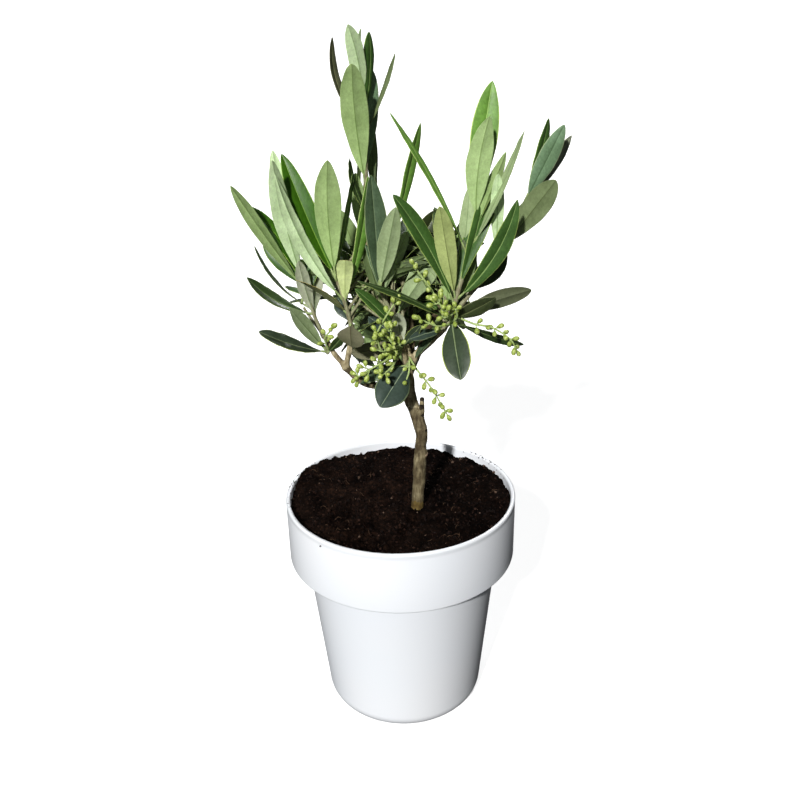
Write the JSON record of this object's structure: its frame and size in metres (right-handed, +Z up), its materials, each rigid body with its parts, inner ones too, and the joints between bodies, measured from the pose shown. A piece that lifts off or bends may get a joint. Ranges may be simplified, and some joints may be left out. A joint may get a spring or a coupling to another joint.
{
  "type": "potted olive tree",
  "caption": "Young olive tree with a short leaning trunk, airy sprays of narrow leaves and flower buds, in a round white pot with a broad collar.",
  "frame": {"origin": "centre of the pot's flat underside", "axes": "+Z up along the pot's axis, -Y towards the plant's front, +X to its right"},
  "size_m": [0.1682, 0.1569, 0.3851],
  "materials": {
    "pot_enamel": "gloss white enamel",
    "soil": "matt dark crumbly potting soil",
    "bark": "matt grey-brown bark",
    "foliage": "leathery leaves, glossy dark green above, pale green and matt below"
  },
  "bodies": {
    "root": {"pot": "pot_enamel", "soil": "soil", "trunk": "bark", "cut_stub": "bark", "bough_centre": "bark", "bough_left": "bark", "bough_left_up": "bark", "bough_left_out": "bark", "bough_right": "bark", "bough_front": "bark", "bough_back": "bark", "bough_back_left": "bark", "bough_back_right": "bark", "crown_top": "foliage", "crown_left": "foliage", "crown_left_out": "foliage", "crown_left_low": "foliage", "crown_right": "foliage", "crown_right_out": "foliage", "crown_right_low": "foliage", "crown_centre": "foliage", "crown_middle": "foliage", "crown_drooping": "foliage", "crown_back": "foliage", "crown_back_left": "foliage", "crown_back_right": "foliage", "crown_back_low": "foliage"}
  },
  "joints": []
}
